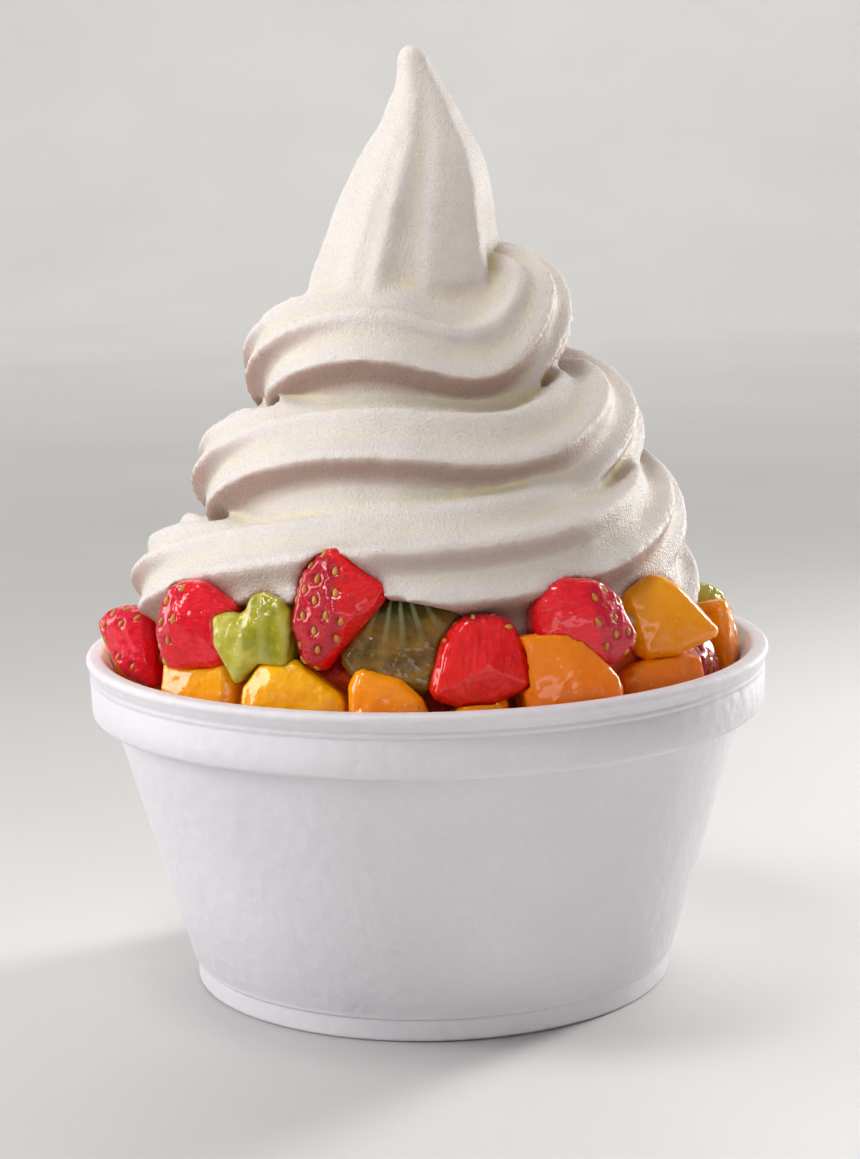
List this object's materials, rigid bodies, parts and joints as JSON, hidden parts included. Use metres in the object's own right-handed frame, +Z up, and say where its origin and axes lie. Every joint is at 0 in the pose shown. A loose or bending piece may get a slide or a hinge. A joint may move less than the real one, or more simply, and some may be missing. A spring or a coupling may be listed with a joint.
{
  "type": "frozen yogurt cup",
  "caption": "Ridged swirl of frozen yogurt pulled up to a peak in a round foam cup, ringed with cut strawberry, mango and kiwi.",
  "frame": {"origin": "on the cup's axis, at the surface that the cup stands on", "axes": "+Z up along the cup's axis; the front of the picture's view faces -Y; +X is to the right seen from the front"},
  "size_m": [0.117, 0.117, 0.1588],
  "materials": {
    "foam": "matt white expanded foam with a fine bead texture",
    "yogurt": "soft satin off-white",
    "strawberry": "wet gloss",
    "mango": "wet gloss",
    "kiwi": "wet gloss"
  },
  "bodies": {
    "root": {"foam_cup": "foam", "frozen_yogurt": "yogurt", "strawberry_01": "strawberry", "strawberry_02": "strawberry", "strawberry_03": "strawberry", "strawberry_04": "strawberry", "strawberry_05": "strawberry", "strawberry_06": "strawberry", "strawberry_07": "strawberry", "strawberry_08": "strawberry", "strawberry_09": "strawberry", "strawberry_10": "strawberry", "mango_01": "mango", "mango_02": "mango", "mango_03": "mango", "mango_04": "mango", "mango_05": "mango", "mango_06": "mango", "mango_07": "mango", "mango_08": "mango", "mango_09": "mango", "mango_10": "mango", "mango_11": "mango", "mango_12": "mango", "mango_13": "mango", "mango_14": "mango", "mango_15": "mango", "mango_16": "mango", "kiwi_01": "kiwi", "kiwi_02": "kiwi", "kiwi_03": "kiwi", "kiwi_04": "kiwi", "kiwi_05": "kiwi", "kiwi_06": "kiwi"}
  },
  "joints": []
}
